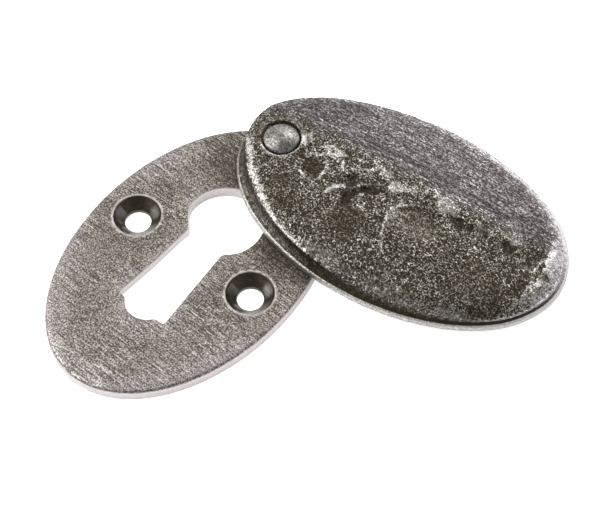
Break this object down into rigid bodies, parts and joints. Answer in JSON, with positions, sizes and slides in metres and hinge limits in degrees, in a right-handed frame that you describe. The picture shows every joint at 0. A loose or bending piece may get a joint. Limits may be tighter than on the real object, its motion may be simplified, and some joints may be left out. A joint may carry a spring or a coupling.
{
  "type": "covered keyhole escutcheon",
  "caption": "Oval keyhole plate with countersunk screw holes and a forged oval cover that swings aside about a domed rivet.",
  "frame": {"origin": "midway between the two screw holes, on the plate's back face", "axes": "+Z out of the door through the plate's front, +Y up the door towards the rivet, +X along the line of the screw holes"},
  "size_m": [0.0638, 0.0675, 0.0082],
  "materials": {
    "plate_steel": "linished across its width, speckled and slightly dulled",
    "cover_iron": "forged and blackened, with its high spots rubbed bright",
    "rivet_steel": "blackened, rubbed bright on the dome"
  },
  "bodies": {
    "plate": {"back_plate": "plate_steel", "pivot_rivet": "rivet_steel"},
    "cover": {"swing_cover": "cover_iron"}
  },
  "joints": [
    {"name": "cover_swing", "type": "hinge", "parent": "plate", "child": "cover", "pos_m": [-0.0006, 0.02185, 0.00245], "axis": [0, 0, 1], "continuous": true}
  ]
}
